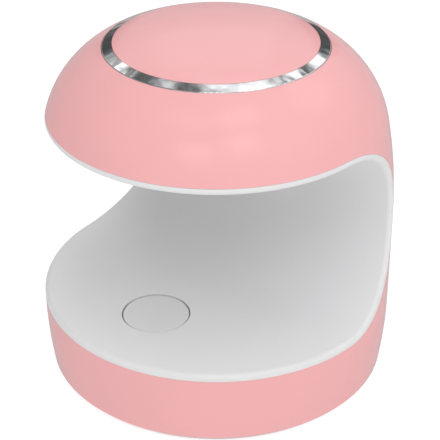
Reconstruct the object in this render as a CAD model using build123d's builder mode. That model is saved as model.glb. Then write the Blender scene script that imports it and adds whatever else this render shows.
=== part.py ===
from build123d import *
import os
from math import cos, radians, sin, sqrt, tan

# Mini nail curing lamp: a round domed body with a C-shaped hand slot cut through it from
# the front. Millimetres, +Z up, front at -Y, origin on the floor under the body's axis.

os.makedirs("parts", exist_ok=True)

# Body outline, a solid of revolution
body_radius = 42.0
base_draft = 1.15
draft_end_drop = 0.65
shell_bottom = 1.5
shell_edge_round = 1.0
side_start_drop = 25.35
side_radius = 123.0
side_angle = 10.8
shoulder_radius = 24.8
shoulder_angle = 78.4
shell_wall = 2.0

# Hand slot with a half round back, and the white liner in it
slot_floor = 18.15
slot_height = 47.2
column_depth = 20.9
liner_wall = 1.6
liner_edge_round = 1.0

# Clearances
seam_gap = 0.05
seat_gap = 0.05
trim_gap = 0.1
cover_gap = 0.2
press_gap = 0.3
screw_gap = 0.05
screw_pass_gap = 0.2
screw_tip_gap = 0.3
wire_gap = 0.1

# Chrome ring and snap-in cap on top
ring_outer_radius = 25.8
ring_width = 2.3
ring_side = 1.74
ring_round = 0.3
ledge_thickness = 2.0
ledge_width = 4.0
cap_wall = 2.0
cap_rim_width = 1.6
clip_count = 4
clip_angle = 20.0
clip_thickness = 1.2
clip_hook = 1.0
clip_hook_height = 1.4

# Bottom cover and feet
cover_recess = 0.2
cover_thickness = 1.8
cover_lip_height = 1.4
cover_lip_width = 1.4
rib_height = 1.5
rib_width = 1.2
foot_radius = 4.5
foot_recess = 0.4
foot_round = 0.5
foot_inset = 6.15
foot_count = 4

# Screws
cover_screw_inset = 13.65
cover_screw_front_setback = 4.7
cover_screw_rear_setback = 8.0
cover_screw_radius = 1.25
cover_screw_length = 5.0
cover_screw_head_radius = 2.2
cover_screw_head_height = 1.6
small_screw_radius = 1.0
small_screw_length = 4.6
small_screw_head_radius = 1.8
small_screw_head_height = 1.3
cross_width = 0.5
cross_depth = 0.7
screw_shelf = 2.0
post_wall = 0.9
stub_wall = 1.4
stub_height = 3.0
dome_screw_angle = 25.5

# Lamp board in the dome, with its light sources
lamp_board_gap = 1.6
lamp_board_thickness = 1.6
lamp_screw_inset = 2.3
lamp_screw_angle = 29.6
lamp_prop_inset = 3.5
lamp_circle_radius = 9.0
lamp_count = 6
lamp_package_size = 5.0
lamp_package_height = 1.5
lamp_package_round = 0.6
lens_radius = 2.2
lens_neck = 0.6

# Start button and its switch
button_setback = 19.8
button_radius = 7.8
button_round = 0.3
button_sink = 0.05
flange_width = 1.1
flange_thickness = 1.1
flange_drop = 0.15
stem_radius = 2.5
guide_height = 2.6
guide_wall = 1.0
switch_size = 6.0
switch_height = 3.5
switch_corner = 0.6
well_depth = 1.3
plunger_radius = 1.7
plunger_above = 2.6
plunger_below = 0.7

# Control board in the base
board_bottom = 6.0
board_thickness = 1.2
board_width = 26.0
board_front_inset = 9.65
board_corner = 1.5
board_screw_x = 9.5
board_screw_front_inset = 15.0
board_screw_rear_inset = 17.0
chip_y = -6.0
chip_length = 4.9
chip_width = 3.9
chip_height = 1.5
leg_count = 4
leg_pitch = 1.27
leg_width = 0.42
leg_thickness = 0.2
leg_shoulder = 0.5
leg_reach = 1.05
leg_exit = 0.65
coil_x = -6.5
coil_y = 6.0
coil_size = 6.0
coil_height = 3.0
coil_corner = 1.2
can_x = 6.5
can_y = 6.0
can_radius = 3.15
can_height = 7.0
can_round = 0.5
resistor_length = 2.0
resistor_width = 1.25
resistor_height = 0.5
resistor_spacing = 3.4
resistor_columns = 3
resistor_rows = 2
resistor_y = 14.0

# Power socket at the back
socket_width = 8.94
socket_height = 3.26
socket_length = 7.35
socket_wall = 0.3
socket_setback = 4.4
socket_overhang = 2.6
socket_base_depth = 1.6
tongue_width = 6.7
tongue_thickness = 0.7
tongue_setback = 0.6
plug_opening_width = 12.8
plug_opening_height = 7.0

# Leads from the control board up the back to the lamp board
lead_radius = 0.65
lead_pitch = 2.5
header_width = 7.4
header_depth = 5.0
header_height = 5.4
header_wall = 0.9
lead_plug_length = 6.0
lead_grip = 2.6
pin_size = 0.6
pin_length = 3.6
lower_header_spacing = 3.25
upper_header_inset = 2.1
saddle_width = 7.0
saddle_height = 4.0
saddle_wall = 1.2

# The leads' route: up from the plug, straight up behind the slot, then forwards over it
lead_rise = 7.85
lead_standoff = 4.9
lead_straight = 17.0
lead_lean_run = 2.5
lead_lean_drop = 11.45
lead_crest_run = 9.5
lead_crest_drop = 2.95
lead_level_run = 6.55

# Places that follow from the sizes above
beyond = 2 * body_radius
base_radius = body_radius - base_draft
slot_top = slot_floor + slot_height
slot_radius = slot_height / 2
slot_centre_z = slot_floor + slot_radius
slot_back_y = body_radius - column_depth
slot_centre_y = slot_back_y - slot_radius
floor_top = slot_floor + liner_wall

draft_top = slot_floor - draft_end_drop
side_start = slot_top - side_start_drop
side_end_r = body_radius - side_radius * (1 - cos(radians(side_angle)))
shoulder_centre_r = side_end_r - shoulder_radius * cos(radians(side_angle))
shoulder_centre_z = side_start + (side_radius - shoulder_radius) * sin(radians(side_angle))
crown_start_r = shoulder_centre_r + shoulder_radius * cos(radians(shoulder_angle))
crown_start_z = shoulder_centre_z + shoulder_radius * sin(radians(shoulder_angle))
crown_radius = crown_start_r / cos(radians(shoulder_angle))
body_top = crown_start_z + crown_radius * (1 - sin(radians(shoulder_angle)))


def shoulder_height(radius):
    # Height of the outside over a point on the shoulder's arc
    return shoulder_centre_z + sqrt(shoulder_radius**2 - (radius - shoulder_centre_r) ** 2)


def dome_inner_radius(height):
    # Radius of the space inside the shoulder at a height
    return shoulder_centre_r + sqrt((shoulder_radius - shell_wall) ** 2 - (height - shoulder_centre_z) ** 2)


seat_radius = ring_outer_radius + trim_gap
ring_inner_radius = ring_outer_radius - ring_width
cap_radius = ring_inner_radius - trim_gap
ledge_inner_radius = ring_inner_radius - ledge_width
ledge_top = shoulder_height(ring_outer_radius) - ring_side
ledge_bottom = ledge_top - ledge_thickness
clip_outer_radius = ledge_inner_radius - trim_gap
clip_inner_radius = clip_outer_radius - clip_thickness
hook_top = ledge_bottom - trim_gap
hook_bottom = hook_top - clip_hook_height

cover_bottom = shell_bottom + cover_recess
cover_top = cover_bottom + cover_thickness
cover_radius = base_radius - shell_wall - cover_gap
rib_inner_radius = cover_radius - rib_width
lip_outer_radius = rib_inner_radius - cover_gap
foot_circle_radius = cover_radius - foot_inset
foot_top = cover_bottom + foot_recess

button_y = button_setback - body_radius
cover_screw_x = cover_radius - cover_screw_inset
cover_screw_front_y = button_y + cover_screw_front_setback
cover_screw_rear_y = slot_centre_y + cover_screw_rear_setback
stub_bottom = slot_floor - stub_height
post_top = stub_bottom - seat_gap
cover_screw_seat = post_top - screw_shelf
post_bore_radius = cover_screw_head_radius + screw_pass_gap
stub_radius = cover_screw_radius + screw_gap + stub_wall

stub_top = slot_top + stub_height
dome_post_bottom = stub_top + seat_gap
dome_screw_seat = dome_post_bottom + screw_shelf
dome_bore_radius = small_screw_head_radius + screw_pass_gap
small_stub_radius = small_screw_radius + screw_gap + stub_wall
dome_screw_circle = (ledge_inner_radius + seat_radius) / 2
dome_screw_x = dome_screw_circle * cos(radians(dome_screw_angle))
dome_screw_y = dome_screw_circle * sin(radians(dome_screw_angle))

lamp_board_top = stub_top + lamp_board_thickness
lamp_board_radius = dome_screw_x - dome_bore_radius - post_wall - trim_gap
lamp_board_y = lamp_board_radius + lamp_board_gap - dome_inner_radius(lamp_board_top)
lamp_screw_circle = lamp_board_radius - lamp_screw_inset
lamp_screw_x = lamp_screw_circle * cos(radians(lamp_screw_angle))
lamp_screw_y = lamp_board_y + lamp_screw_circle * sin(radians(lamp_screw_angle))
lamp_prop_y = lamp_board_y - lamp_board_radius + lamp_prop_inset
package_bottom = stub_top - lamp_package_height

socket_mouth_y = body_radius - socket_setback
socket_back_y = socket_mouth_y - socket_length
board_front_y = board_front_inset - cover_radius
board_rear_y = socket_mouth_y - socket_overhang
board_screw_front_y = board_front_y + board_screw_front_inset
board_screw_rear_y = board_rear_y - board_screw_rear_inset
board_top = board_bottom + board_thickness
switch_top = board_top + switch_height
plunger_top = switch_top + plunger_above
button_top = floor_top - button_sink
flange_radius = button_radius + flange_width
flange_top = slot_floor - flange_drop
flange_bottom = flange_top - flange_thickness
socket_z = board_top + socket_height / 2

plug_seat = header_wall + seat_gap
lower_header_y = socket_back_y - lower_header_spacing - header_depth / 2
lower_plug_end_z = board_top + plug_seat + lead_plug_length
upper_header_y = lamp_board_y + lamp_board_radius - upper_header_inset
upper_back_y = upper_header_y - header_height
upper_plug_end_y = upper_back_y + plug_seat + lead_plug_length
upper_axis_z = lamp_board_top + header_depth / 2
lead_back_y = slot_back_y + lead_standoff

cover_screw_rows = (cover_screw_front_y, cover_screw_rear_y)
cover_screw_spots = [(side * cover_screw_x, row_y) for side in (-1, 1) for row_y in cover_screw_rows]
dome_screw_spots = [(side * dome_screw_x, row * dome_screw_y) for side in (-1, 1) for row in (-1, 1)]
lamp_screw_spots = [(-lamp_screw_x, lamp_screw_y), (lamp_screw_x, lamp_screw_y)]
lamp_spots = [
    (lamp_circle_radius * cos(radians(turn)), lamp_board_y + lamp_circle_radius * sin(radians(turn)))
    for turn in (step * 360 / lamp_count for step in range(lamp_count))
]
board_screw_spots = [(-board_screw_x, board_screw_front_y), (board_screw_x, board_screw_rear_y)]
board_prop_spots = [(board_screw_x, board_screw_front_y), (-board_screw_x, board_screw_rear_y), (0, button_y)]


def at_height(spots, height):
    return [(x, y, height) for x, y in spots]


def body_section(inset):
    # Half section of the body, or of the space inside a wall as thick as the inset
    with BuildSketch() as section:
        with BuildLine():
            base = Line((0, shell_bottom), (base_radius - inset, shell_bottom))
            draft = TangentArc((body_radius - inset, draft_top), base @ 1, tangent=(0, -1))
            wall = Line(draft @ 0, (body_radius - inset, side_start))
            side = JernArc(wall @ 1, (0, 1), side_radius - inset, side_angle)
            shoulder = JernArc(side @ 1, side % 1, shoulder_radius - inset, shoulder_angle - side_angle)
            crown = TangentArc(shoulder @ 1, (0, body_top - inset), tangent=shoulder % 1)
            Line(crown @ 1, base @ 0)
        make_face()
    return section.sketch


def slot_section(inset):
    # Side view of the hand slot, open past the front
    with BuildSketch() as section:
        with BuildLine():
            floor = Line((-beyond, slot_floor + inset), (slot_centre_y, slot_floor + inset))
            back = JernArc(floor @ 1, (1, 0), slot_radius - inset, 180)
            ceiling = Line(back @ 1, (-beyond, slot_top - inset))
            Line(ceiling @ 1, floor @ 0)
        make_face()
    return section.sketch


def cross_screw(shank_radius, shank_length, head_radius, head_height):
    # Pan head screw, its head standing on z = 0 and its shank going down
    with BuildPart() as screw:
        with BuildSketch():
            Circle(head_radius)
        extrude(amount=head_height)
        fillet(screw.edges().group_by(Axis.Z)[-1], radius=head_height / 2)
        with BuildSketch():
            Circle(shank_radius)
        extrude(amount=-shank_length)
        chamfer(screw.edges().group_by(Axis.Z)[0], length=shank_radius / 3)
        with BuildSketch(Plane.XY.offset(head_height)):
            Rectangle(head_radius, cross_width)
            Rectangle(cross_width, head_radius)
        extrude(amount=-cross_depth, mode=Mode.SUBTRACT)
    return screw.part


def bend_radii(points):
    # The largest arc that the two runs at each corner leave room for
    radii = []
    for before, corner, after in zip(points, points[1:], points[2:]):
        run_in = Vector(*corner) - Vector(*before)
        run_out = Vector(*after) - Vector(*corner)
        half_turn = radians(run_in.get_angle(run_out)) / 2
        radii.append(0.45 * min(run_in.length, run_out.length) / tan(half_turn))
    return radii


# Outer shell: dome, back column and base ring in one moulding
with BuildPart() as outer_shell:
    with BuildSketch(Plane.XZ) as shell_section:
        add(body_section(0))
        fillet(shell_section.vertices().group_by(Axis.Z)[0].sort_by(Axis.X)[-1], radius=shell_edge_round)
        with BuildSketch(mode=Mode.PRIVATE) as hollow:
            add(body_section(shell_wall))
            with Locations((0, ledge_bottom)):
                Rectangle(beyond, beyond, align=(Align.CENTER, Align.MIN), mode=Mode.SUBTRACT)
            with Locations((rib_inner_radius, cover_top)):
                Rectangle(beyond, rib_height, align=Align.MIN, mode=Mode.SUBTRACT)
        add(hollow.sketch, mode=Mode.SUBTRACT)
        with Locations((0, ledge_top)):
            Rectangle(seat_radius, beyond, align=Align.MIN, mode=Mode.SUBTRACT)
        with Locations((0, ledge_bottom)):
            Rectangle(ledge_inner_radius, beyond, align=Align.MIN, mode=Mode.SUBTRACT)
    revolve(axis=Axis.Z)
    with BuildSketch(Plane.XY.offset(dome_post_bottom)):
        with Locations(*dome_screw_spots):
            Circle(dome_bore_radius + post_wall)
    extrude(amount=ledge_bottom + ledge_thickness / 2 - dome_post_bottom)
    with BuildSketch(Plane.XY.offset(dome_screw_seat)):
        with Locations(*dome_screw_spots):
            Circle(dome_bore_radius)
    extrude(amount=ledge_top - dome_screw_seat, mode=Mode.SUBTRACT)
    with BuildSketch(Plane.XY.offset(dome_post_bottom)):
        with Locations(*dome_screw_spots):
            Circle(small_screw_radius + screw_pass_gap)
    extrude(amount=screw_shelf, mode=Mode.SUBTRACT)
    with BuildSketch(Plane.YZ):
        add(slot_section(-seam_gap))
    extrude(amount=beyond, both=True, mode=Mode.SUBTRACT)
    with BuildSketch(Plane.XZ.offset(-socket_mouth_y)):
        with Locations((0, socket_z)):
            SlotOverall(plug_opening_width, plug_opening_height)
    extrude(amount=-beyond, mode=Mode.SUBTRACT)

outer_shell.part.label = "outer_shell"
export_step(outer_shell.part, "parts/outer_shell.step")

# Inner liner: one bent sheet that makes the slot's floor, back and ceiling
with BuildPart() as inner_liner:
    with BuildSketch(Plane.XZ):
        add(body_section(0))
    revolve(axis=Axis.Z)
    with BuildSketch(Plane.YZ):
        add(slot_section(0))
    extrude(amount=beyond, both=True, mode=Mode.INTERSECT)
    # Screw stubs, guide ring and props start inside the slot, which is cut out after them
    with BuildSketch(Plane.XY.offset(stub_bottom)):
        with Locations(*cover_screw_spots):
            Circle(stub_radius)
    extrude(amount=slot_centre_z - stub_bottom)
    with BuildSketch(Plane.XY.offset(slot_floor - guide_height)):
        with Locations((0, button_y)):
            Circle(flange_radius + press_gap + guide_wall)
            Circle(flange_radius + press_gap, mode=Mode.SUBTRACT)
    extrude(amount=guide_height + liner_wall / 2)
    with BuildSketch(Plane.XY.offset(stub_top)):
        with Locations(*dome_screw_spots, *lamp_screw_spots, (0, lamp_prop_y)):
            Circle(small_stub_radius)
    extrude(amount=slot_centre_z - stub_top)
    with BuildSketch(Plane.YZ):
        add(slot_section(liner_wall))
    extrude(amount=beyond, both=True, mode=Mode.SUBTRACT)
    slot_edges = inner_liner.edges(Select.LAST).filter_by(GeomType.LINE, reverse=True)
    fillet(slot_edges, radius=liner_edge_round)
    # Screw holes, the button's hole and a hole for each lens
    with BuildSketch(Plane.XY.offset(stub_bottom)):
        with Locations(*cover_screw_spots):
            Circle(cover_screw_radius + screw_gap)
    extrude(amount=cover_screw_length - screw_shelf - seat_gap + screw_tip_gap, mode=Mode.SUBTRACT)
    with BuildSketch(Plane.XY.offset(stub_top)):
        with Locations(*dome_screw_spots):
            Circle(small_screw_radius + screw_gap)
    extrude(amount=-(small_screw_length - screw_shelf - seat_gap + screw_tip_gap), mode=Mode.SUBTRACT)
    with BuildSketch(Plane.XY.offset(stub_top)):
        with Locations(*lamp_screw_spots):
            Circle(small_screw_radius + screw_gap)
    extrude(amount=-(small_screw_length - lamp_board_thickness + screw_tip_gap), mode=Mode.SUBTRACT)
    with BuildSketch(Plane.XY.offset(slot_floor)):
        with Locations((0, button_y)):
            Circle(button_radius + press_gap)
    extrude(amount=liner_wall, mode=Mode.SUBTRACT)
    with BuildSketch(Plane.XY.offset(slot_top)):
        with Locations(*lamp_spots):
            Circle(lens_radius + press_gap)
    extrude(amount=-liner_wall, mode=Mode.SUBTRACT)

inner_liner.part.label = "inner_liner"
export_step(inner_liner.part, "parts/inner_liner.step")

# Top cap: carries on the dome's curve inside the ring, and snaps under the ledge
with BuildPart() as top_cap:
    with BuildSketch(Plane.XZ):
        add(body_section(0))
        with Locations((0, ledge_top)):
            Rectangle(cap_radius, beyond, align=Align.MIN, mode=Mode.INTERSECT)
    revolve(axis=Axis.Z)
    with BuildSketch(Plane.XZ):
        add(body_section(cap_wall))
        with Locations((0, ledge_top)):
            Rectangle(cap_radius - cap_rim_width, beyond, align=Align.MIN, mode=Mode.INTERSECT)
    revolve(axis=Axis.Z, mode=Mode.SUBTRACT)
    for step in range(clip_count):
        turn = radians(step * 360 / clip_count - clip_angle / 2)
        outwards = (cos(turn), sin(turn), 0)
        clip_plane = Plane(origin=(0, 0, 0), x_dir=outwards, z_dir=(sin(turn), -cos(turn), 0))
        with BuildSketch(clip_plane):
            with BuildLine():
                Polyline(
                    (clip_inner_radius, body_top - cap_wall),
                    (clip_outer_radius, body_top - cap_wall),
                    (clip_outer_radius, hook_top),
                    (clip_outer_radius + clip_hook, hook_top),
                    (clip_outer_radius, hook_bottom),
                    (clip_inner_radius, hook_bottom),
                    close=True,
                )
            make_face()
        revolve(axis=Axis.Z, revolution_arc=clip_angle)

top_cap.part.label = "top_cap"
export_step(top_cap.part, "parts/top_cap.step")

# Chrome ring: a conical band between the cap and the dome
with BuildPart() as chrome_ring:
    with BuildSketch(Plane.XZ) as ring_section:
        with BuildLine():
            Polyline(
                (ring_inner_radius, ledge_top),
                (ring_outer_radius, ledge_top),
                (ring_outer_radius, shoulder_height(ring_outer_radius)),
                (ring_inner_radius, shoulder_height(ring_inner_radius)),
                close=True,
            )
        make_face()
        fillet(ring_section.vertices().sort_by(Axis.Z)[-2:], radius=ring_round)
    revolve(axis=Axis.Z)

chrome_ring.part.label = "chrome_ring"
export_step(chrome_ring.part, "parts/chrome_ring.step")

# Bottom cover: disc with a locating lip, screw posts, board props and foot recesses
with BuildPart() as bottom_cover:
    with BuildSketch(Plane.XY.offset(cover_bottom)):
        Circle(cover_radius)
    extrude(amount=cover_thickness)
    with BuildSketch(Plane.XY.offset(cover_top)):
        Circle(lip_outer_radius)
        Circle(lip_outer_radius - cover_lip_width, mode=Mode.SUBTRACT)
    extrude(amount=cover_lip_height)
    with BuildSketch(Plane.XY.offset(cover_top)):
        with Locations(*cover_screw_spots):
            Circle(post_bore_radius + post_wall)
    extrude(amount=post_top - cover_top)
    with BuildSketch(Plane.XY.offset(cover_top)):
        with Locations(*board_screw_spots, *board_prop_spots):
            Circle(small_stub_radius)
    extrude(amount=board_bottom - cover_top)
    with BuildSketch(Plane.XY.offset(cover_bottom)):
        with Locations(*cover_screw_spots):
            Circle(post_bore_radius)
    extrude(amount=cover_screw_seat - cover_bottom, mode=Mode.SUBTRACT)
    with BuildSketch(Plane.XY.offset(cover_screw_seat)):
        with Locations(*cover_screw_spots):
            Circle(cover_screw_radius + screw_pass_gap)
    extrude(amount=screw_shelf, mode=Mode.SUBTRACT)
    with BuildSketch(Plane.XY.offset(board_bottom)):
        with Locations(*board_screw_spots):
            Circle(small_screw_radius + screw_gap)
    extrude(amount=-(small_screw_length - board_thickness + screw_tip_gap), mode=Mode.SUBTRACT)
    with BuildSketch(Plane.XY.offset(cover_bottom)):
        with PolarLocations(foot_circle_radius, foot_count):
            Circle(foot_radius + trim_gap)
    extrude(amount=foot_recess, mode=Mode.SUBTRACT)

bottom_cover.part.label = "bottom_cover"
export_step(bottom_cover.part, "parts/bottom_cover.step")

# Rubber feet, stuck into the cover's recesses
with BuildPart() as rubber_feet:
    with BuildSketch():
        with PolarLocations(foot_circle_radius, foot_count):
            Circle(foot_radius)
    extrude(amount=foot_top)
    fillet(rubber_feet.edges().group_by(Axis.Z)[0], radius=foot_round)

rubber_feet.part.label = "rubber_feet"
export_step(rubber_feet.part, "parts/rubber_feet.step")

# Cover screws, driven up through the posts into the liner's stubs
with BuildPart() as cover_screws:
    upright = cross_screw(
        cover_screw_radius, cover_screw_length, cover_screw_head_radius, cover_screw_head_height
    )
    with Locations(*at_height(cover_screw_spots, cover_screw_seat)):
        add(upright, rotation=(180, 0, 0))

cover_screws.part.label = "cover_screws"
export_step(cover_screws.part, "parts/cover_screws.step")

small_screw = cross_screw(
    small_screw_radius, small_screw_length, small_screw_head_radius, small_screw_head_height
)

# Dome screws, down the shell's posts into the liner
with BuildPart() as dome_screws:
    with Locations(*at_height(dome_screw_spots, dome_screw_seat)):
        add(small_screw)

dome_screws.part.label = "dome_screws"
export_step(dome_screws.part, "parts/dome_screws.step")

# Lamp board screws
with BuildPart() as lamp_board_screws:
    with Locations(*at_height(lamp_screw_spots, lamp_board_top)):
        add(small_screw)

lamp_board_screws.part.label = "lamp_board_screws"
export_step(lamp_board_screws.part, "parts/lamp_board_screws.step")

# Control board screws
with BuildPart() as control_board_screws:
    with Locations(*at_height(board_screw_spots, board_top)):
        add(small_screw)

control_board_screws.part.label = "control_board_screws"
export_step(control_board_screws.part, "parts/control_board_screws.step")

# Start button: a disc level with the slot's floor, with a flange under it and a stem
with BuildPart() as start_button:
    with BuildSketch(Plane.XY.offset(flange_bottom)):
        with Locations((0, button_y)):
            Circle(flange_radius)
    extrude(amount=flange_thickness)
    with BuildSketch(Plane.XY.offset(flange_top)):
        with Locations((0, button_y)):
            Circle(button_radius)
    extrude(amount=button_top - flange_top)
    fillet(start_button.edges().group_by(Axis.Z)[-1], radius=button_round)
    with BuildSketch(Plane.XY.offset(flange_bottom)):
        with Locations((0, button_y)):
            Circle(stem_radius)
    extrude(amount=plunger_top - flange_bottom)

start_button.part.label = "start_button"
export_step(start_button.part, "parts/start_button.step")

# Push switch: a square body with a well that its plunger slides in
with BuildPart() as push_switch:
    with BuildSketch(Plane.XY.offset(board_top)):
        with Locations((0, button_y)):
            RectangleRounded(switch_size, switch_size, switch_corner)
    extrude(amount=switch_height)
    with BuildSketch(Plane.XY.offset(switch_top)):
        with Locations((0, button_y)):
            Circle(plunger_radius + press_gap)
    extrude(amount=-well_depth, mode=Mode.SUBTRACT)

push_switch.part.label = "push_switch"
export_step(push_switch.part, "parts/push_switch.step")

with BuildPart() as switch_plunger:
    with BuildSketch(Plane.XY.offset(switch_top - plunger_below)):
        with Locations((0, button_y)):
            Circle(plunger_radius)
    extrude(amount=plunger_below + plunger_above)

switch_plunger.part.label = "switch_plunger"
export_step(switch_plunger.part, "parts/switch_plunger.step")

# Control board
with BuildPart() as control_board:
    with BuildSketch(Plane.XY.offset(board_bottom)):
        with Locations((0, (board_front_y + board_rear_y) / 2)):
            RectangleRounded(board_width, board_rear_y - board_front_y, board_corner)
        with Locations(*board_screw_spots):
            Circle(small_screw_radius + screw_pass_gap, mode=Mode.SUBTRACT)
    extrude(amount=board_thickness)

control_board.part.label = "control_board"
export_step(control_board.part, "parts/control_board.step")

# Timer chip and its legs
with BuildPart() as timer_chip:
    with BuildSketch(Plane.XY.offset(board_top + leg_thickness)):
        with Locations((0, chip_y)):
            Rectangle(chip_length, chip_width)
    extrude(amount=chip_height - leg_thickness)

timer_chip.part.label = "timer_chip"
export_step(timer_chip.part, "parts/timer_chip.step")

with BuildPart() as chip_legs:
    for step in range(leg_count):
        leg_x = (step - (leg_count - 1) / 2) * leg_pitch
        for side in (-1, 1):
            leg_root = (leg_x, chip_y + side * chip_width / 2, board_top)
            leg_plane = Plane(origin=leg_root, x_dir=(0, side, 0), z_dir=(side, 0, 0))
            with BuildSketch(leg_plane):
                with BuildLine():
                    Polyline(
                        (0, leg_exit),
                        (0, leg_exit + leg_thickness),
                        (leg_shoulder, leg_exit + leg_thickness),
                        (leg_shoulder, leg_thickness),
                        (leg_reach, leg_thickness),
                        (leg_reach, 0),
                        (leg_shoulder - leg_thickness, 0),
                        (leg_shoulder - leg_thickness, leg_exit),
                        close=True,
                    )
                make_face()
            extrude(amount=leg_width / 2, both=True)

chip_legs.part.label = "chip_legs"
export_step(chip_legs.part, "parts/chip_legs.step")

# Coil, smoothing can and resistors of the lamp driver
with BuildPart() as driver_coil:
    with BuildSketch(Plane.XY.offset(board_top)):
        with Locations((coil_x, coil_y)):
            RectangleRounded(coil_size, coil_size, coil_corner)
    extrude(amount=coil_height)

driver_coil.part.label = "driver_coil"
export_step(driver_coil.part, "parts/driver_coil.step")

with BuildPart() as smoothing_can:
    with BuildSketch(Plane.XY.offset(board_top)):
        with Locations((can_x, can_y)):
            Circle(can_radius)
    extrude(amount=can_height)
    fillet(smoothing_can.edges().group_by(Axis.Z)[-1], radius=can_round)

smoothing_can.part.label = "smoothing_can"
export_step(smoothing_can.part, "parts/smoothing_can.step")

with BuildPart() as chip_resistors:
    with BuildSketch(Plane.XY.offset(board_top)):
        with Locations((0, resistor_y)):
            with GridLocations(resistor_spacing, resistor_spacing, resistor_columns, resistor_rows):
                Rectangle(resistor_length, resistor_width)
    extrude(amount=resistor_height)

chip_resistors.part.label = "chip_resistors"
export_step(chip_resistors.part, "parts/chip_resistors.step")

# Power socket: a folded metal shell round a plastic tongue
with BuildPart() as power_socket:
    with BuildSketch(Plane.XZ.offset(-socket_back_y)):
        with Locations((0, socket_z)):
            SlotOverall(socket_width, socket_height)
            SlotOverall(socket_width - 2 * socket_wall, socket_height - 2 * socket_wall, mode=Mode.SUBTRACT)
    extrude(amount=-socket_length)

power_socket.part.label = "power_socket"
export_step(power_socket.part, "parts/power_socket.step")

with BuildPart() as socket_tongue:
    with BuildSketch(Plane.XZ.offset(-socket_back_y)):
        with Locations((0, socket_z)):
            SlotOverall(
                socket_width - 2 * socket_wall - 2 * seat_gap,
                socket_height - 2 * socket_wall - 2 * seat_gap,
            )
    extrude(amount=-socket_base_depth)
    with BuildSketch(Plane.XZ.offset(-socket_back_y)):
        with Locations((0, socket_z)):
            Rectangle(tongue_width, tongue_thickness)
    extrude(amount=-(socket_length - tongue_setback))

socket_tongue.part.label = "socket_tongue"
export_step(socket_tongue.part, "parts/socket_tongue.step")


def lead_header(plane):
    # Open box for a lead plug, its floor on the plane, with a hole for each pin
    with BuildPart() as header:
        with BuildSketch(plane):
            Rectangle(header_width, header_depth)
        extrude(amount=header_height)
        with BuildSketch(plane.offset(header_wall)):
            Rectangle(header_width - 2 * header_wall, header_depth - 2 * header_wall)
        extrude(amount=header_height - header_wall, mode=Mode.SUBTRACT)
        with BuildSketch(plane):
            with GridLocations(lead_pitch, lead_pitch, 2, 1):
                Rectangle(pin_size + 2 * wire_gap, pin_size + 2 * wire_gap)
        extrude(amount=header_wall, mode=Mode.SUBTRACT)
    return header.part


def lead_plug(plane):
    # Plug that fits the header, open to the pins below and to the leads above
    with BuildPart() as plug:
        with BuildSketch(plane.offset(plug_seat)):
            Rectangle(
                header_width - 2 * header_wall - 2 * trim_gap,
                header_depth - 2 * header_wall - 2 * trim_gap,
            )
        extrude(amount=lead_plug_length)
        with BuildSketch(plane.offset(plug_seat)):
            with GridLocations(lead_pitch, lead_pitch, 2, 1):
                Rectangle(pin_size + 2 * wire_gap, pin_size + 2 * wire_gap)
        extrude(amount=pin_length - header_wall, mode=Mode.SUBTRACT)
        with BuildSketch(plane.offset(plug_seat + lead_plug_length)):
            with GridLocations(lead_pitch, lead_pitch, 2, 1):
                Circle(lead_radius + wire_gap)
        extrude(amount=-lead_grip, mode=Mode.SUBTRACT)
    return plug.part


lower_plane = Plane(origin=(0, lower_header_y, board_top))
upper_plane = Plane(origin=(0, upper_back_y, upper_axis_z), x_dir=(1, 0, 0), z_dir=(0, 1, 0))

lower_header = lead_header(lower_plane)
lower_header.label = "lower_header"
export_step(lower_header, "parts/lower_header.step")

lower_plug = lead_plug(lower_plane)
lower_plug.label = "lower_plug"
export_step(lower_plug, "parts/lower_plug.step")

upper_header = lead_header(upper_plane)
upper_header.label = "upper_header"
export_step(upper_header, "parts/upper_header.step")

upper_plug = lead_plug(upper_plane)
upper_plug.label = "upper_plug"
export_step(upper_plug, "parts/upper_plug.step")

# Contact pins of both headers
with BuildPart() as header_pins:
    for plane in (lower_plane, upper_plane):
        with BuildSketch(plane):
            with GridLocations(lead_pitch, lead_pitch, 2, 1):
                Rectangle(pin_size, pin_size)
        extrude(amount=pin_length)

header_pins.part.label = "header_pins"
export_step(header_pins.part, "parts/header_pins.step")


def lead(side):
    # One lead, from the lower plug up behind the slot and over it to the upper plug
    x = side * lead_pitch / 2
    points = [
        (x, lower_header_y, lower_plug_end_z - lead_grip),
        (x, lower_header_y, lower_plug_end_z + lead_rise),
        (x, lead_back_y, slot_centre_z - lead_straight / 2),
        (x, lead_back_y, slot_centre_z + lead_straight / 2),
        (x, lead_back_y - lead_lean_run, upper_axis_z - lead_lean_drop),
        (x, lead_back_y - lead_crest_run, upper_axis_z - lead_crest_drop),
        (x, upper_plug_end_y + lead_level_run, upper_axis_z),
        (x, upper_plug_end_y - lead_grip, upper_axis_z),
    ]
    radii = bend_radii(points)
    with BuildPart() as wire:
        with BuildLine() as route:
            FilletPolyline(*points, radius=radii)
        with BuildSketch(Plane(origin=route.line @ 0, z_dir=route.line % 0)):
            Circle(lead_radius)
        sweep()
    length = sum(edge.length for edge in route.edges())
    print("lead radii", [round(radius, 1) for radius in radii], "length", round(length, 1))
    return wire.part


red_lead = lead(-1)
red_lead.label = "red_lead"
export_step(red_lead, "parts/red_lead.step")

black_lead = lead(1)
black_lead.label = "black_lead"
export_step(black_lead, "parts/black_lead.step")

# Saddle on the liner's back that holds both leads
saddle_front_y = slot_back_y + seat_gap
saddle_back_y = lead_back_y + lead_radius + wire_gap + saddle_wall
with BuildPart() as lead_saddle:
    with BuildSketch(Plane.XY.offset(slot_centre_z - saddle_height / 2)):
        with Locations((0, (saddle_front_y + saddle_back_y) / 2)):
            RectangleRounded(saddle_width, saddle_back_y - saddle_front_y, saddle_wall / 2)
        with Locations((0, lead_back_y)):
            with GridLocations(lead_pitch, lead_pitch, 2, 1):
                Circle(lead_radius + wire_gap, mode=Mode.SUBTRACT)
    extrude(amount=saddle_height)

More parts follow.
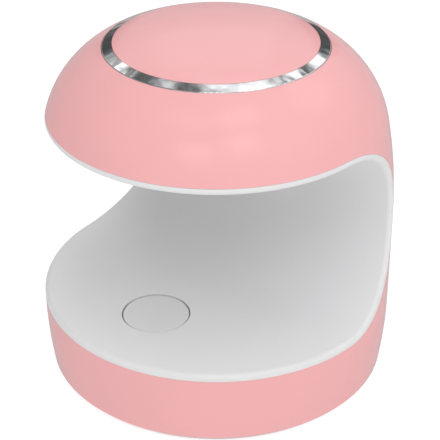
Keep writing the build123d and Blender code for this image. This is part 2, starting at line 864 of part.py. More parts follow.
lead_saddle.part.label = "lead_saddle"
export_step(lead_saddle.part, "parts/lead_saddle.step")

# Lamp board, a round metal-backed board over the slot's ceiling
with BuildPart() as lamp_board:
    with BuildSketch(Plane.XY.offset(stub_top)):
        with Locations((0, lamp_board_y)):
            Circle(lamp_board_radius)
        with Locations(*lamp_screw_spots):
            Circle(small_screw_radius + screw_pass_gap, mode=Mode.SUBTRACT)
    extrude(amount=lamp_board_thickness)

lamp_board.part.label = "lamp_board"
export_step(lamp_board.part, "parts/lamp_board.step")

# Light source packages under the board, and the lens on each
with BuildPart() as lamp_packages:
    with BuildSketch(Plane.XY.offset(package_bottom)):
        with Locations(*lamp_spots):
            RectangleRounded(lamp_package_size, lamp_package_size, lamp_package_round)
    extrude(amount=lamp_package_height)

lamp_packages.part.label = "lamp_packages"
export_step(lamp_packages.part, "parts/lamp_packages.step")

with BuildPart() as lamp_lenses:
    with BuildSketch(Plane.XY.offset(package_bottom)):
        with Locations(*lamp_spots):
            Circle(lens_radius)
    extrude(amount=-lens_neck)
    with Locations(*at_height(lamp_spots, package_bottom - lens_neck)):
        Sphere(lens_radius, arc_size2=0, align=None)

lamp_lenses.part.label = "lamp_lenses"
export_step(lamp_lenses.part, "parts/lamp_lenses.step")
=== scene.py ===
import math

import bpy
from mathutils import Matrix, Vector


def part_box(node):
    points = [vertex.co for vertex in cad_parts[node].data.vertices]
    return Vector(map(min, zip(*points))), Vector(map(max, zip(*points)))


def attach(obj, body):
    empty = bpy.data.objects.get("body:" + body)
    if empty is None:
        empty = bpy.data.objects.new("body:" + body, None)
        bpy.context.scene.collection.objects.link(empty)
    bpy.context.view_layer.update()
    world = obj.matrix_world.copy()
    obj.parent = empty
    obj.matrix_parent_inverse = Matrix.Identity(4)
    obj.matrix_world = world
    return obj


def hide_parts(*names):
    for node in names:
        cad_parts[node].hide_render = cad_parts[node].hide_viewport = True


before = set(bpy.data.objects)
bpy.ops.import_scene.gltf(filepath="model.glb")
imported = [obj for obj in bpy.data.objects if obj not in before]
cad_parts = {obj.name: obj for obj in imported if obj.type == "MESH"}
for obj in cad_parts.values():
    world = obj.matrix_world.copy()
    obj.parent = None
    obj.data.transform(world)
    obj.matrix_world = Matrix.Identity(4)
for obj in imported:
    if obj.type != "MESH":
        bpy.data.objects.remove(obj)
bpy.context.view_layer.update()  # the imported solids, in metres, front at -Y
print("frame loaded")


def metres(inMillimetres):
    return inMillimetres / 1000


def millimetres(inMetres):
    return inMetres * 1000


def toLinear(hexText):  # sRGB hex to linear
    channels = [int(hexText[i:i + 2], 16) / 255 for i in (0, 2, 4)]
    return [c / 12.92 if c <= 0.04045 else ((c + 0.055) / 1.055) ** 2.4 for c in channels] + [1.0]


# Camera, where the photograph was taken from
camera = {
    "place": (0.1909, -0.2263, 0.2076),
    "target": (0.00063, 0.00054, 0.03523),
    "roll": -0.05,  # degrees
    "lens": 116.4,  # mm
    "sensor": 36,
    "clip": (0.01, 20),  # metres
}
cameraData = bpy.data.cameras.new("camera")
cameraData.lens = camera["lens"]
cameraData.sensor_width = camera["sensor"]
cameraData.clip_start, cameraData.clip_end = camera["clip"]
cameraObject = bpy.data.objects.new("camera", cameraData)
bpy.context.collection.objects.link(cameraObject)
lookAlong = Vector(camera["target"]) - Vector(camera["place"])
turned = lookAlong.to_track_quat("-Z", "Y").to_matrix().to_4x4()
rolled = Matrix.Rotation(math.radians(camera["roll"]), 4, "Z")
cameraObject.matrix_world = Matrix.Translation(camera["place"]) @ turned @ rolled
bpy.context.scene.camera = cameraObject
print("camera set")


# Finishes. A colour drifts between two near ones over driftMm, the roughness between its two values
# over patchMm, and the grain has a size and a height.
looks = {
    # Injection-moulded ABS from a polished mould: an even pink with a long, shallow ripple in its shine
    "pinkGlossAbs": {
        "shader": {"IOR": 1.36},
        "driftMm": 28, "colours": ("f0b1b2", "eeafb0"),
        "patchMm": 9, "roughness": (0.11, 0.16),
        "grainMm": 4.5, "grainHeightMm": 0.004,
    },
    # ABS from a mould etched to a fine satin, which spreads the light and shows no sharp reflection
    "whiteSatinAbs": {
        "shader": {"IOR": 1.54},
        "driftMm": 22, "colours": ("e3e2e3", "e1e1e1"),
        "patchMm": 7, "roughness": (0.42, 0.50),
        "grainMm": 0.5, "grainHeightMm": 0.004,  # drawn four times its real size
    },
    # The button's own moulding, polished a little more than the liner by finger tips
    "whiteButtonAbs": {
        "shader": {"IOR": 1.54},
        "driftMm": 12, "colours": ("dddddd", "dbdbdb"),
        "patchMm": 5, "roughness": (0.34, 0.44),
        "grainMm": 0.5, "grainHeightMm": 0.003,
    },
    # Chrome electroplated on ABS: a mirror whose shallow waves bend what it reflects, and whose colour
    # drifts between bright and dull patches as a painted marbling of its reflections
    "chromePlate": {
        "shader": {"Metallic": 1.0},
        "driftMm": 5, "colours": ("eff0f0", "cdcfd1"),
        "patchMm": 4, "roughness": (0.10, 0.15),
        "grainMm": 3.6, "grainHeightMm": 0.13, "grainDetail": 0.8,
    },
    # Moulded silicone rubber, matt and slightly dusty
    "footRubber": {
        "shader": {"IOR": 1.41},
        "driftMm": 3, "colours": ("3b3b3d", "454546"),
        "patchMm": 2, "roughness": (0.62, 0.80),
        "grainMm": 0.4, "grainHeightMm": 0.010,
    },
    # Zinc-plated steel screws: a cool bright metal, dulled in patches
    "zincSteel": {
        "shader": {"Metallic": 1.0},
        "driftMm": 1.5, "colours": ("b9bcc0", "a3a7ad"),
        "patchMm": 1, "roughness": (0.24, 0.42),
        "grainMm": 0.25, "grainHeightMm": 0.004,
    },
    # Moulded nylon of small electrical parts, waxy and nearly matt
    "blackNylon": {
        "shader": {"IOR": 1.53},
        "driftMm": 4, "colours": ("1f1f21", "29292b"),
        "patchMm": 2, "roughness": (0.42, 0.56),
        "grainMm": 0.3, "grainHeightMm": 0.006,
    },
    # Glass-fibre laminate under green solder mask, with the glass weave just showing
    "boardLaminate": {
        "shader": {"IOR": 1.55},
        "driftMm": 6, "colours": ("1f6b3c", "1a5f35"),
        "patchMm": 3, "roughness": (0.25, 0.35),
        "threadMm": 0.6, "threadHeightMm": 0.01,
    },
    # Aluminium-cored board under white solder mask
    "lampBoardAluminium": {
        "shader": {"IOR": 1.5},
        "driftMm": 5, "colours": ("e6e7e2", "dddfd9"),
        "patchMm": 3, "roughness": (0.30, 0.40),
        "grainMm": 0.6, "grainHeightMm": 0.004,
    },
    # Transfer-moulded black epoxy with a fine stony grain
    "chipEpoxy": {
        "shader": {"IOR": 1.56},
        "driftMm": 1, "colours": ("232325", "2c2c2e"),
        "patchMm": 0.8, "roughness": (0.48, 0.62),
        "grainMm": 0.15, "grainHeightMm": 0.006,
    },
    # Black glassy overcoat on a ceramic body
    "resistorCeramic": {
        "shader": {"IOR": 1.55},
        "driftMm": 0.6, "colours": ("2a2a2e", "3a3a3f"),
        "patchMm": 0.6, "roughness": (0.30, 0.45),
        "grainMm": 0.2, "grainHeightMm": 0.005,
    },
    # Extruded silicone sleeve, soft and slightly hazy
    "redSilicone": {
        "shader": {"IOR": 1.41},
        "driftMm": 3, "colours": ("b3161b", "a51217"),
        "patchMm": 1.5, "roughness": (0.48, 0.62),
        "grainMm": 0.5, "grainHeightMm": 0.006,
    },
    # White moulded lamp body, matt
    "packageCeramic": {
        "shader": {"IOR": 1.6},
        "driftMm": 1.5, "colours": ("ecebe4", "e2e1da"),
        "patchMm": 1, "roughness": (0.45, 0.6),
        "grainMm": 0.2, "grainHeightMm": 0.004,
    },
    # Clear cast silicone, partly see-through so that daylight reaches the die without tracing caustics
    "lensSilicone": {
        "shader": {"IOR": 1.41, "Transmission Weight": 1.0, "Alpha": 0.35},
        "driftMm": 2, "colours": ("f4f1fb", "efeaf9"),
        "patchMm": 1, "roughness": (0.02, 0.05),
        "grainMm": 1.2, "grainHeightMm": 0.004,
    },
    # Gallium nitride on sapphire: smoky violet with bright electrode fingers across it
    "lampDie": {
        "shader": {"IOR": 1.77},
        "fingerMm": 0.22, "fingerBend": 0.2, "fingerEdge": (0.72, 0.80),
        "colours": ("6f6a8c", "e6c66e"),
        "patchMm": 0.4, "roughness": (0.15, 0.30),
        "grainMm": 0.1, "grainHeightMm": 0.002,
    },
    # Copper dipped in tin, slightly dull
    "tinnedCopper": {
        "shader": {"Metallic": 1.0},
        "driftMm": 2, "colours": ("d6d7d8", "c3c5c7"),
        "patchMm": 1.2, "roughness": (0.25, 0.40),
        "grainMm": 0.2, "grainHeightMm": 0.004,
    },
    # Deep-drawn aluminium, finely scratched by its forming
    "drawnAluminium": {
        "shader": {"Metallic": 1.0},
        "driftMm": 2, "colours": ("dcdddf", "cbcdd0"),
        "patchMm": 1.2, "roughness": (0.28, 0.40),
        "grainMm": 0.3, "grainHeightMm": 0.004,
    },
    # Folded steel sheet under bright nickel
    "nickelSteel": {
        "shader": {"Metallic": 1.0},
        "driftMm": 2, "colours": ("d3d0cb", "c2bfba"),
        "patchMm": 1.2, "roughness": (0.18, 0.30),
        "grainMm": 0.4, "grainHeightMm": 0.004,
    },
    # Stamped brass under a thin gold plate
    "goldPlatedBrass": {
        "shader": {"Metallic": 1.0},
        "driftMm": 2, "colours": ("f2cf7a", "e2bb62"),
        "patchMm": 1.2, "roughness": (0.15, 0.28),
        "grainMm": 0.2, "grainHeightMm": 0.003,
    },
    # Silver plated on copper pads
    "silverPlate": {
        "shader": {"Metallic": 1.0},
        "driftMm": 2, "colours": ("f3f2ee", "e6e4de"),
        "patchMm": 1.2, "roughness": (0.18, 0.30),
        "grainMm": 0.2, "grainHeightMm": 0.003,
    },
    # Drawn gold bond wire
    "goldWire": {
        "shader": {"Metallic": 1.0},
        "driftMm": 2, "colours": ("f0c766", "e4b654"),
        "patchMm": 1.2, "roughness": (0.15, 0.25),
        "grainMm": 0.1, "grainHeightMm": 0.002,
    },
    # Painted table top
    "litTable": {
        "shader": {"IOR": 1.45},
        "driftMm": 400, "colours": ("8f8f8f", "8c8c8c"),
        "patchMm": 200, "roughness": (0.7, 0.8),
    },
    # Black felt, fully matt
    "cardFelt": {"shader": {"Roughness": 1.0}, "colour": "050505"},
}
looks["whiteNylon"] = dict(looks["blackNylon"], colours=("e9e6dc", "dfdcd1"))
looks["blackSilicone"] = dict(looks["redSilicone"], colours=("1b1b1d", "242426"))


def addNode(tree, kind, settings=None, links=None):
    node = tree.nodes.new("ShaderNode" + kind)
    for name, value in (settings or {}).items():
        if isinstance(name, int) or name in node.inputs:
            node.inputs[name].default_value = value
        else:
            setattr(node, name, value)
    for name, source in (links or {}).items():
        tree.links.new(source, node.inputs[name])
    return node


def newFinish(name):
    finish = bpy.data.materials.new(name)
    finish.use_nodes = True
    tree = finish.node_tree
    tree.nodes.clear()
    shader = addNode(tree, "BsdfPrincipled", looks[name]["shader"])
    addNode(tree, "OutputMaterial", links={"Surface": shader.outputs["BSDF"]})
    place = addNode(tree, "TexCoord").outputs["Object"]
    return finish, tree, shader, place, looks[name]


clouds = {
    "colourEnds": (0.35, 0.65),  # of the noise, where each of the two colours is reached
    "colourDetail": 2.0,
    "patchEnds": (0.3, 0.7),
    "patchDetail": 3.0,
    "grainDetail": 2.0,
}


def cloudColour(tree, shader, place, look):  # soft drift between two near colours
    cloud = addNode(
        tree, "TexNoise",
        {"Scale": 1000 / look["driftMm"], "Detail": clouds["colourDetail"]},
        {"Vector": place},
    )
    ramp = addNode(tree, "ValToRGB", links={"Fac": cloud.outputs["Fac"]})
    for end, position, colour in zip(ramp.color_ramp.elements, clouds["colourEnds"], look["colours"]):
        end.position, end.color = position, toLinear(colour)
    tree.links.new(ramp.outputs["Color"], shader.inputs["Base Color"])


def cloudRoughness(tree, shader, place, look):  # patches that shine more and less
    fromLow, fromHigh = clouds["patchEnds"]
    low, high = look["roughness"]
    cloud = addNode(
        tree, "TexNoise",
        {"Scale": 1000 / look["patchMm"], "Detail": clouds["patchDetail"]},
        {"Vector": place},
    )
    spread = addNode(
        tree, "MapRange",
        {"From Min": fromLow, "From Max": fromHigh, "To Min": low, "To Max": high},
        {"Value": cloud.outputs["Fac"]},
    )
    tree.links.new(spread.outputs["Result"], shader.inputs["Roughness"])


def grainBump(tree, shader, place, look):  # moulded or worked grain
    cloud = addNode(
        tree, "TexNoise",
        {"Scale": 1000 / look["grainMm"], "Detail": look.get("grainDetail", clouds["grainDetail"])},
        {"Vector": place},
    )
    bump = addNode(
        tree, "Bump",
        {"Strength": 1.0, "Distance": metres(look["grainHeightMm"])},
        {"Height": cloud.outputs["Fac"]},
    )
    tree.links.new(bump.outputs["Normal"], shader.inputs["Normal"])


def bandScale(pitchMm):  # the wave node repeats every tau / 20 at scale 1
    return math.tau / 20 / metres(pitchMm)


def plainFinish(name):  # drifting colour, patchy shine and grain
    finish, tree, shader, place, look = newFinish(name)
    cloudColour(tree, shader, place, look)
    cloudRoughness(tree, shader, place, look)
    grainBump(tree, shader, place, look)
    return finish


def wovenFinish(name):  # with the bumps of warp and weft in place of grain
    finish, tree, shader, place, look = newFinish(name)
    cloudColour(tree, shader, place, look)
    cloudRoughness(tree, shader, place, look)
    warp, weft = (
        addNode(
            tree, "TexWave",
            {"bands_direction": along, "Scale": bandScale(look["threadMm"])},
            {"Vector": place},
        )
        for along in ("X", "Y")
    )
    weave = addNode(
        tree, "Math",
        {"operation": "MULTIPLY"},
        {0: warp.outputs["Fac"], 1: weft.outputs["Fac"]},
    )
    bump = addNode(
        tree, "Bump",
        {"Strength": 1.0, "Distance": metres(look["threadHeightMm"])},
        {"Height": weave.outputs["Value"]},
    )
    tree.links.new(bump.outputs["Normal"], shader.inputs["Normal"])
    return finish


def fingeredFinish(name):  # with bright fingers across a dark ground
    finish, tree, shader, place, look = newFinish(name)
    fingers = addNode(
        tree, "TexWave",
        {"bands_direction": "Y", "Scale": bandScale(look["fingerMm"]),
         "Distortion": look["fingerBend"]},
        {"Vector": place},
    )
    ramp = addNode(tree, "ValToRGB", links={"Fac": fingers.outputs["Fac"]})
    for end, position, colour in zip(ramp.color_ramp.elements, look["fingerEdge"], look["colours"]):
        end.position, end.color = position, toLinear(colour)
    tree.links.new(ramp.outputs["Color"], shader.inputs["Base Color"])
    cloudRoughness(tree, shader, place, look)
    grainBump(tree, shader, place, look)
    return finish


finishes = {  # one for each slot of the frame
    "pink_abs": plainFinish("pinkGlossAbs"),
    "white_abs": plainFinish("whiteSatinAbs"),
    "button_abs": plainFinish("whiteButtonAbs"),
    "chrome_plate": plainFinish("chromePlate"),
    "foot_rubber": plainFinish("footRubber"),
    "screw_steel": plainFinish("zincSteel"),
    "black_nylon": plainFinish("blackNylon"),
    "white_nylon": plainFinish("whiteNylon"),
    "board_laminate": wovenFinish("boardLaminate"),
    "chip_epoxy": plainFinish("chipEpoxy"),
    "tinned_metal": plainFinish("tinnedCopper"),
    "can_aluminium": plainFinish("drawnAluminium"),
    "resistor_ceramic": plainFinish("resistorCeramic"),
    "socket_steel": plainFinish("nickelSteel"),
    "pin_brass": plainFinish("goldPlatedBrass"),
    "red_silicone": plainFinish("redSilicone"),
    "black_silicone": plainFinish("blackSilicone"),
    "lamp_board_aluminium": plainFinish("lampBoardAluminium"),
    "package_ceramic": plainFinish("packageCeramic"),
    "lens_clear": plainFinish("lensSilicone"),
}
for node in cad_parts.values():
    for held in node.material_slots:
        held.material = finishes[held.material.name]
print("finishes on", len(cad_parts), "nodes")


# Modelling
edges = {
    "roundSteps": 2,
    "roundAngle": 40,  # degrees; sharper edges are rounded
    "smoothAngle": 35,  # flatter ones are shaded smooth
    "flatCosine": 0.999,  # how squarely a face has to look along an axis to count as its end
}


def facing(x, y, z):  # picks the flat faces that look this way
    return lambda face: face.normal.dot(Vector((x, y, z))) > edges["flatCosine"]


def openFaces(piece, wanted):  # into edit mode with only the wanted faces selected
    bpy.ops.object.mode_set(mode="EDIT")
    bpy.ops.mesh.select_mode(type="FACE")
    bpy.ops.mesh.select_all(action="DESELECT")
    bpy.ops.object.mode_set(mode="OBJECT")
    for face in piece.data.polygons:
        face.select = wanted(face)
    bpy.ops.object.mode_set(mode="EDIT")


def extrudeBy(x, y, z):  # what is selected, in millimetres
    step = (metres(x), metres(y), metres(z))
    bpy.ops.mesh.extrude_region_move(TRANSFORM_OT_translate={"value": step})


def roundEdges(piece, radius):
    bpy.ops.object.mode_set(mode="OBJECT")
    bevel = piece.modifiers.new("roundEdges", "BEVEL")
    bevel.width, bevel.segments = metres(radius), edges["roundSteps"]
    bevel.angle_limit = math.radians(edges["roundAngle"])
    bpy.ops.object.modifier_apply(modifier=bevel.name)


def joinPieces(pieces):  # into the first of them
    bpy.ops.object.select_all(action="DESELECT")
    for piece in pieces:
        piece.select_set(True)
    bpy.context.view_layer.objects.active = pieces[0]
    bpy.ops.object.join()
    return pieces[0]


def repeat(piece, moves):  # copies of a piece, each with its own mesh, joined to it
    copies = []
    for move in moves:
        copy = piece.copy()
        copy.data = piece.data.copy()
        copy.data.transform(move)
        bpy.context.collection.objects.link(copy)
        copies.append(copy)
    joinPieces([piece] + copies)


def finishPiece(piece, name, finish):
    piece.name = piece.data.name = name
    bpy.ops.object.shade_smooth_by_angle(angle=math.radians(edges["smoothAngle"]))
    piece.data.materials.append(finish)
    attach(piece, "housing")


def across(x, y, z=0.0):  # a move in millimetres
    return Matrix.Translation((metres(x), metres(y), metres(z)))


# Rubber feet, each a rounded pad with a hollow sole and a low button in it
foot = {  # mm
    "radius": 4.5,
    "sides": 72,
    "circle": 32.5,
    "height": 2.1,
    "edgeRound": 0.5,  # round the sole's outer edge
    "edgeSteps": 5,
    "fineRound": 0.06,  # on every other edge
    "treadWidth": 1.1,
    "hollowDepth": 0.35,
    "buttonRadius": 1.3,
    "buttonDrop": 0.2,  # the button stops short of the floor
}
bpy.ops.mesh.primitive_cylinder_add(
    vertices=foot["sides"], radius=metres(foot["radius"]), depth=metres(foot["height"]),
    location=(metres(foot["circle"]), 0, metres(foot["height"] / 2)),
)
feet = bpy.context.object
bpy.ops.object.transform_apply()
openFaces(feet, facing(0, 0, -1))
bpy.ops.mesh.bevel(offset=metres(foot["edgeRound"]), segments=foot["edgeSteps"], affect="EDGES")
openFaces(feet, facing(0, 0, -1))
bpy.ops.mesh.inset(thickness=metres(foot["treadWidth"] - foot["edgeRound"]))
extrudeBy(0, 0, foot["hollowDepth"])
bpy.ops.mesh.inset(thickness=metres(foot["radius"] - foot["treadWidth"] - foot["buttonRadius"]))
extrudeBy(0, 0, foot["buttonDrop"] - foot["hollowDepth"])
roundEdges(feet, foot["fineRound"])
repeat(feet, [Matrix.Rotation(math.radians(turn), 4, "Z") for turn in (90, 180, 270)])
finishPiece(feet, "footPads", finishes["foot_rubber"])
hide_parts("rubber_feet")
print("feet modelled")


# Inside each lamp's lens: two plated pads, the die, and its bond wires
lamp = {  # mm
    "circle": 9.0,
    "count": 6,
    "padRadius": 1.7,
    "padSides": 48,
    "padThickness": 0.05,
    "padRound": 0.012,
    "gapAt": -0.75,  # where the two pads part
    "gapWidth": 0.22,
    "dieSize": 1.1,
    "dieHeight": 0.16,
    "dieRound": 0.02,
    "trenchEdge": 0.08,  # the rim left round the sunk middle of the die
    "trenchDepth": 0.03,
    "wireRadius": 0.03,  # drawn twice its real gauge, so that it shows
    "wireSides": 10,
    "wireSteps": 16,
    "wireFrom": -0.3,  # where it is bonded on the die
    "wireBend": 0.42,  # half its span, and as far as it bulges into the lens
    "wireSpread": 0.3,  # one each side of the middle
    "wireSunk": 0.01,  # both ends run a little way into what they are bonded to
}
lampLow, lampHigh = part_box("lamp_lenses")
lampFace = millimetres(lampHigh[2])  # underside of the packages
lampMiddle = millimetres((lampLow[1] + lampHigh[1]) / 2)
lampSpots = [
    across(lamp["circle"] * math.cos(turn), lampMiddle + lamp["circle"] * math.sin(turn))
    for turn in (math.tau * step / lamp["count"] for step in range(lamp["count"]))
]


def toLamps(piece):  # from the origin to every lamp
    piece.data.transform(lampSpots[0])
    repeat(piece, [lampSpots[0].inverted() @ spot for spot in lampSpots[1:]])


pads = []
for side in (1, -1):
    bpy.ops.mesh.primitive_cylinder_add(
        vertices=lamp["padSides"], radius=metres(lamp["padRadius"]), depth=metres(lamp["padThickness"]),
        location=(0, 0, metres(lampFace - lamp["padThickness"] / 2)),
    )
    pad = bpy.context.object
    bpy.ops.object.transform_apply()
    openFaces(pad, lambda face: True)
    bpy.ops.mesh.bisect(
        plane_co=(metres(lamp["gapAt"] + side * lamp["gapWidth"] / 2), 0, 0), plane_no=(side, 0, 0),
        use_fill=True, clear_inner=True,
    )
    roundEdges(pad, lamp["padRound"])
    pads.append(pad)
lampPads = joinPieces(pads)
toLamps(lampPads)
finishPiece(lampPads, "lampPads", plainFinish("silverPlate"))

dieTop = lampFace - lamp["padThickness"]
bpy.ops.mesh.primitive_cube_add(
    size=1, scale=(metres(lamp["dieSize"]), metres(lamp["dieSize"]), metres(lamp["dieHeight"])),
    location=(0, 0, metres(dieTop - lamp["dieHeight"] / 2)),
)
die = bpy.context.object
bpy.ops.object.transform_apply()
openFaces(die, facing(0, 0, -1))
bpy.ops.mesh.inset(thickness=metres(lamp["trenchEdge"]))
extrudeBy(0, 0, lamp["trenchDepth"])
roundEdges(die, lamp["dieRound"])
toLamps(die)
finishPiece(die, "lampDies", fingeredFinish("lampDie"))

wireStart = dieTop - lamp["dieHeight"] + lamp["trenchDepth"] + lamp["wireSunk"]
wires = []
for offset in (-lamp["wireSpread"], lamp["wireSpread"]):
    bpy.ops.mesh.primitive_circle_add(
        vertices=lamp["wireSides"], radius=metres(lamp["wireRadius"]), fill_type="NOTHING",
        location=(metres(lamp["wireFrom"]), metres(offset), metres(wireStart)),
    )
    wire = bpy.context.object
    bpy.ops.object.transform_apply()
    bpy.ops.object.mode_set(mode="EDIT")
    bpy.ops.mesh.select_mode(type="EDGE")
    bpy.ops.mesh.select_all(action="SELECT")
    bpy.ops.mesh.spin(
        steps=lamp["wireSteps"], angle=-math.pi, axis=(0, 1, 0),
        center=(metres(lamp["wireFrom"] - lamp["wireBend"]), metres(offset), metres(wireStart)),
    )
    extrudeBy(0, 0, dieTop + lamp["wireSunk"] - wireStart)  # straight on into the plated pad
    bpy.ops.mesh.select_all(action="SELECT")
    bpy.ops.mesh.fill_holes(sides=0)
    bpy.ops.mesh.normals_make_consistent(inside=False)
    bpy.ops.object.mode_set(mode="OBJECT")
    wires.append(wire)
bondWires = joinPieces(wires)
toLamps(bondWires)
finishPiece(bondWires, "bondWires", plainFinish("goldWire"))
print("lamp insides modelled")


# Contact strips on both faces of the socket's tongue
contact = {  # mm
    "count": 12,
    "pitch": 0.5,
    "width": 0.25,
    "length": 4.3,
    "proud": 0.05,
    "setback": 0.45,  # from the tongue's end
    "tongueHalf": 0.35,
    "tipLength": 0.12,
    "tipWidth": 0.5,  # shares of the strip's own
    "tipThickness": 0.6,
    "edgeRound": 0.02,
}
tongueLow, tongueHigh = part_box("socket_tongue")
tongueMiddle = millimetres((tongueLow[2] + tongueHigh[2]) / 2)
tongueEnd = millimetres(tongueHigh[1])
bpy.ops.mesh.primitive_cube_add(
    size=1,
    scale=(metres(contact["width"]), metres(contact["length"]), metres(contact["proud"] * 2)),
    location=(metres(-contact["pitch"] * (contact["count"] - 1) / 2),
              metres(tongueEnd - contact["setback"] - contact["length"] / 2),
              metres(tongueMiddle + contact["tongueHalf"])),
)
contacts = bpy.context.object
bpy.ops.object.transform_apply()
openFaces(contacts, facing(0, 1, 0))
extrudeBy(0, contact["tipLength"], 0)
bpy.ops.transform.resize(value=(contact["tipWidth"], 1, contact["tipThickness"]))
roundEdges(contacts, contact["edgeRound"])
repeat(contacts, [across(contact["pitch"] * step, 0) for step in range(1, contact["count"])])
under = across(0, 0, tongueMiddle) @ Matrix.Rotation(math.pi, 4, "Y") @ across(0, 0, -tongueMiddle)
repeat(contacts, [under])
finishPiece(contacts, "tongueContacts", finishes["pin_brass"])
print("socket contacts modelled")


# Studio: pale floor and backdrop, a bright room, soft panels, and black cards for the chrome
studio = {  # metres and degrees
    "centre": Vector((0, 0, 0.06)),
    "floorSize": 16,
    "floorGlow": 0.84,  # a lit table, so the floor stays near white
    "paintedShadowRadius": 38.6,  # mm; a painted contact shadow: the table's glow is nothing inside this radius under the lamp, and full again at the next one
    "paintedShadowEdge": 39.6,
    "backdropRadius": 5,
    "backdropHeight": 2.4,
    "backdropSides": 96,
    "roomColour": "f6f6f7",
    "underStrength": 0.56,  # below the horizon, seen only by reflections
    "horizonStrength": 0.46,
    "horizonBlur": 0.02,
    "zenithStrength": 0.85,
    "zenithHeight": 0.7,  # sine of its elevation
    "leftStrength": 0.20,  # the zenith away from brightAzimuth
    "brightAzimuth": 130,
    "brightShare": (-0.9, 0.2),  # where it fades, as the cosine of the angle from brightAzimuth
    "cardDistance": 1.5,
    "cardGlow": 0.08,
    "cardSolid": 0.57,  # share of a card's radius that is fully black, before it fades out
    "cards": [  # azimuth, elevation, half its angle
        (-152.5, 3, 5),
        (-156.5, 11, 9),
        (-163, 19, 8),
        (-171, 41.5, 4.2),
        (-172, 54.5, 5.5),
        (-127, 4, 5),
        (-122, 12, 7.5),
        (-116, 19.5, 8.2),
        (-107, 49.8, 7.5),
        (-120, 66, 6),
    ],
    "panels": {  # azimuth, elevation, distance, width, height, radiance
        "fillPanel": (34, 51, 1.2, 1.10, 0.80, 1.09),
        "backFillPanel": (-140, 16, 1.2, 1.20, 0.60, 0.5),
        "rightFillPanel": (80, 50, 1.2, 0.60, 0.60, 0.57),
        "leftFillPanel": (-40, 12, 1.2, 0.60, 0.60, 0.33),
        "backTopPanel": (-160, 50, 1.2, 0.60, 0.60, 0.3),
        "zenithPanel": (40, 86, 1.0, 0.40, 0.40, 1.9),
        "paneLowerLeft": (24, 38, 1.0, 0.34, 0.34, 1.4),
        "paneLowerRight": (62, 46, 1.0, 0.28, 0.32, 1.6),
        "paneUpperLeft": (0, 68, 1.0, 0.40, 0.26, 0.69),
        "paneUpperRight": (79, 72, 1.0, 0.36, 0.28, 1.56),
        "capWindow": (-139, 36, 1.0, 0.34, 0.46, 0.36),
        "sideWindow": (155, 47, 1.0, 0.45, 0.40, 0.8),
        "backPanel": (-155, 63.5, 1.0, 0.46, 0.26, 0.75),
        "backLowPanel": (-170, 32, 1.0, 0.14, 0.14, 0.9),
        "backMidPanel": (-171, 48.5, 1.0, 0.14, 0.10, 0.9),
        "leftPanel": (-110, 38, 1.0, 0.14, 0.14, 1.2),
        "leftUpperPanel": (-111, 59, 1.0, 0.08, 0.09, 0.66),
    },
    "polarised": (  # these leave no highlight
        "fillPanel", "backFillPanel", "rightFillPanel", "leftFillPanel", "backTopPanel", "zenithPanel",
    ),
    "glossOnly": ("capWindow", "sideWindow"),  # faint panes, seen only in the gloss
}


def direction(azimuth, elevation):  # degrees, azimuth 0 at the front and 90 at the right
    a, e = math.radians(azimuth), math.radians(elevation)
    return Vector((math.sin(a) * math.cos(e), -math.cos(a) * math.cos(e), math.sin(e)))


def aim(thing, azimuth, elevation, distance):  # out in this direction, turned to the lamp
    towards = direction(azimuth, elevation)
    thing.location = studio["centre"] + towards * distance
    thing.rotation_mode = "QUATERNION"
    thing.rotation_quaternion = towards.to_track_quat("Z", "Y")


bpy.ops.mesh.primitive_plane_add(size=studio["floorSize"])
floor = bpy.context.object
floor.name = "floor"
litTable, tree, shader, place, look = newFinish("litTable")
cloudColour(tree, shader, place, look)
cloudRoughness(tree, shader, place, look)
shader.inputs["Emission Color"].default_value = (1, 1, 1, 1)
flat = addNode(tree, "VectorMath", {"operation": "MULTIPLY", 1: (1, 1, 0)}, {0: place})
outwards = addNode(tree, "VectorMath", {"operation": "LENGTH"}, {0: flat.outputs["Vector"]})
# the table's glow, cut away under the lamp: a painted contact shadow round the base
glow = addNode(
    tree, "MapRange",
    {"From Min": metres(studio["paintedShadowRadius"]), "From Max": metres(studio["paintedShadowEdge"]),
     "To Max": studio["floorGlow"]},
    {"Value": outwards.outputs["Value"]},
)
tree.links.new(glow.outputs["Result"], shader.inputs["Emission Strength"])
floor.data.materials.append(litTable)
floor.visible_glossy = False  # its glow would whiten every edge of the glossy pink

bpy.ops.mesh.primitive_cylinder_add(
    vertices=studio["backdropSides"], radius=studio["backdropRadius"], depth=studio["backdropHeight"],
    end_fill_type="NOTHING", location=(0, 0, studio["backdropHeight"] / 2),
)
backdrop = bpy.context.object  # seen only by the camera, in level views
backdrop.name = "backdrop"
backdrop.data.materials.append(litTable)
backdrop.visible_glossy = backdrop.visible_diffuse = backdrop.visible_shadow = False

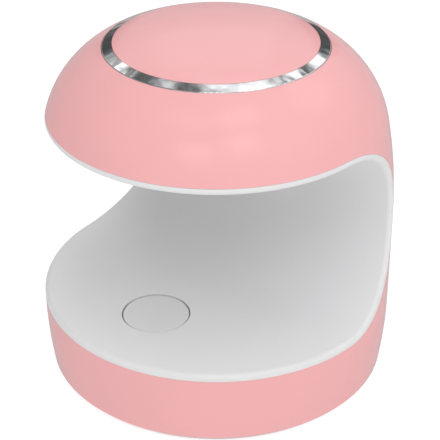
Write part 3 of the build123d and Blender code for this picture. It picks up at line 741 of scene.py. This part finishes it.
cardFelt, tree, shader, place, look = newFinish("cardFelt")
shader.inputs["Base Color"].default_value = toLinear(look["colour"])
shader.inputs["Emission Color"].default_value = (1, 1, 1, 1)
shader.inputs["Emission Strength"].default_value = studio["cardGlow"]
fromMiddle = addNode(tree, "VectorMath", {"operation": "LENGTH"}, {0: place})
fade = addNode(
    tree, "MapRange",
    {"From Min": studio["cardSolid"], "From Max": 1.0, "To Min": 1.0, "To Max": 0.0,
     "interpolation_type": "SMOOTHSTEP"},
    {"Value": fromMiddle.outputs["Value"]},
)
tree.links.new(fade.outputs["Result"], shader.inputs["Alpha"])
for azimuth, elevation, halfAngle in studio["cards"]:
    bpy.ops.mesh.primitive_plane_add(size=2)
    card = bpy.context.object
    card.name = "card"
    card.scale = [studio["cardDistance"] * math.tan(math.radians(halfAngle))] * 3
    aim(card, azimuth, elevation, studio["cardDistance"])
    card.data.materials.append(cardFelt)
    card.visible_camera = card.visible_diffuse = card.visible_shadow = False

room = bpy.data.worlds.new("room")
bpy.context.scene.world = room
room.use_nodes = True
tree = room.node_tree
tree.nodes.clear()
heading = addNode(tree, "TexCoord").outputs["Generated"]
upwards = addNode(tree, "SeparateXYZ", links={0: heading}).outputs["Z"]
brightWay = direction(studio["brightAzimuth"], 0)
sideways = addNode(tree, "VectorMath", {"operation": "DOT_PRODUCT", 1: brightWay}, {0: heading})
fadeStart, fadeEnd = studio["brightShare"]
zenith = addNode(
    tree, "MapRange",
    {"From Min": fadeStart, "From Max": fadeEnd,
     "To Min": studio["leftStrength"], "To Max": studio["zenithStrength"]},
    {"Value": sideways.outputs["Value"]},
)
bright = addNode(
    tree, "MapRange",
    {"From Max": studio["zenithHeight"], "To Min": studio["horizonStrength"]},
    {"Value": upwards, "To Max": zenith.outputs["Result"]},
)
above = addNode(
    tree, "MapRange",
    {"From Min": -studio["horizonBlur"], "From Max": 0.0, "To Min": studio["underStrength"]},
    {"Value": upwards, "To Max": bright.outputs["Result"]},
)
background = addNode(
    tree, "Background",
    {"Color": toLinear(studio["roomColour"])},
    {"Strength": above.outputs["Result"]},
)
addNode(tree, "OutputWorld", links={"Surface": background.outputs["Background"]})

for name, (azimuth, elevation, distance, width, height, radiance) in studio["panels"].items():
    light = bpy.data.lights.new(name, "AREA")
    light.shape = "RECTANGLE"
    light.size, light.size_y = width, height
    light.energy = radiance * math.pi * width * height
    panel = bpy.data.objects.new(name, light)
    aim(panel, azimuth, elevation, distance)
    panel.visible_glossy = name not in studio["polarised"]
    panel.visible_diffuse = name not in studio["glossOnly"]
    bpy.context.collection.objects.link(panel)
bpy.context.scene.view_settings.view_transform = "Standard"
print("studio lit")
